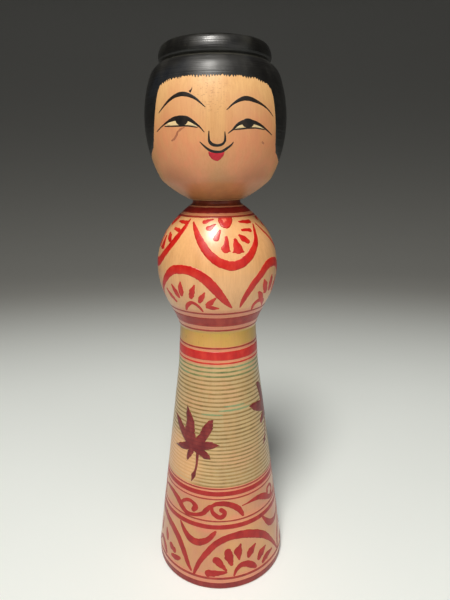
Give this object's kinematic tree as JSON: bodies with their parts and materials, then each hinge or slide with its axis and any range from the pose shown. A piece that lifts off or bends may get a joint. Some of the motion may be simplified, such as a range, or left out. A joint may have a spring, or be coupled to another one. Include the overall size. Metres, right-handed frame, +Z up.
{
  "type": "kokeshi doll",
  "caption": "Lathe-turned wooden doll with a round painted head that turns on a waisted, flared body with painted bands, waves and leaves.",
  "frame": {"origin": "centre of the foot's underside, where the doll stands", "axes": "+Z up along the lathe axis, the face looks along -Y, the doll's left hand side is +X"},
  "size_m": [0.0628, 0.0628, 0.2426],
  "materials": {
    "body_wood": "waxed pale dogwood, turned smooth, with brushed red, green and dark crimson ink",
    "head_wood": "waxed pale dogwood, turned smooth, with glossy black hair and a brushed face",
    "black_lacquer": "black hair painted on the wood, waxed to a satin gloss, rubbed grey where it has been handled",
    "black_ink": "thin black brush ink on the wood, for brows, eyes, nose and mouth",
    "red_ink": "transparent red dye brushed on the wood, grain showing through, waxed",
    "crimson_ink": "dark purplish crimson dye brushed on the wood, waxed",
    "green_ink": "thin rings of faded green dye, put on with a brush while the wood turned",
    "peg_wood": "bare turned wood, burnished where it rubs"
  },
  "bodies": {
    "body": {"body": "body_wood"},
    "head": {"head": "head_wood", "neck_peg": "peg_wood"}
  },
  "joints": [
    {"name": "head_turn", "type": "hinge", "parent": "body", "child": "head", "pos_m": [0, 0, 0.179], "axis": [0, 0, 1], "continuous": true}
  ]
}
